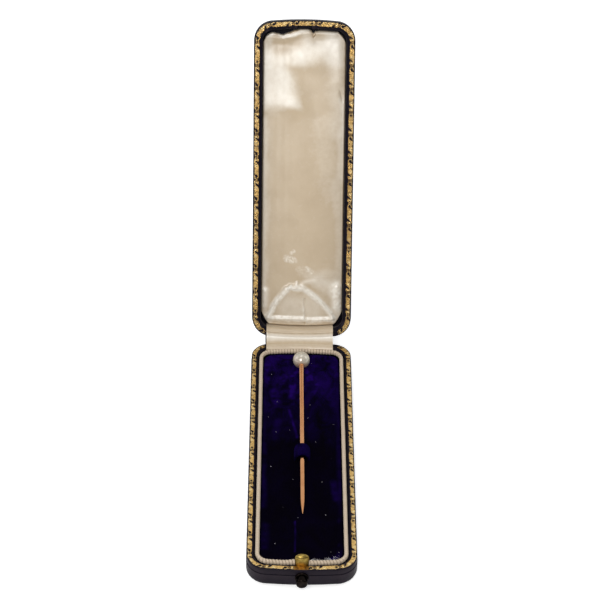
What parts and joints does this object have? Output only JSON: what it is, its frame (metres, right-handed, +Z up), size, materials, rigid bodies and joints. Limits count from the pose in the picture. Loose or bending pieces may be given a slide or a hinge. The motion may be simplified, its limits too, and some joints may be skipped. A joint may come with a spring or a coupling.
{
  "type": "pearl stick pin in a hinged presentation case",
  "caption": "Pearl-headed stick pin held by a velvet loop in an open leather-covered case with velvet bed, satin lid lining, brass catch and push button.",
  "frame": {"origin": "middle of the flat underside of the base", "axes": "+Z up from the surface the case stands on, +Y from the push button to the hinge, +X to the right seen from the front"},
  "size_m": [0.0302, 0.1501, 0.0927],
  "materials": {
    "leather": "fine grained, near-black aubergine, satin gloss",
    "velvet": "deep violet-blue cut pile",
    "silk_cord": "ribbed champagne silk",
    "satin": "cream silk satin",
    "rose_gold": "polished rose gold",
    "pearl": "cream nacre with a soft high lustre",
    "brass": "aged yellow brass",
    "bronze": "dark patinated bronze",
    "gilt": "worn gold leaf tooling"
  },
  "bodies": {
    "case": {"base_tray": "leather", "velvet_pad": "velvet", "silk_piping": "silk_cord", "velvet_loop": "velvet", "pin_shank": "rose_gold", "pearl": "pearl", "catch": "brass", "button_collar": "bronze", "push_button": "bronze", "hinge_spine": "leather", "ribbon_base": "satin"},
    "lid": {"lid_shell": "leather", "satin_pad": "satin", "strike_plate": "brass", "ribbon_lid": "satin"}
  },
  "joints": [
    {"name": "lid_hinge", "type": "hinge", "parent": "case", "child": "lid", "pos_m": [0, 0.0489, 0.0065], "axis": [1, 0, 0], "range_deg": [0, 117]}
  ]
}
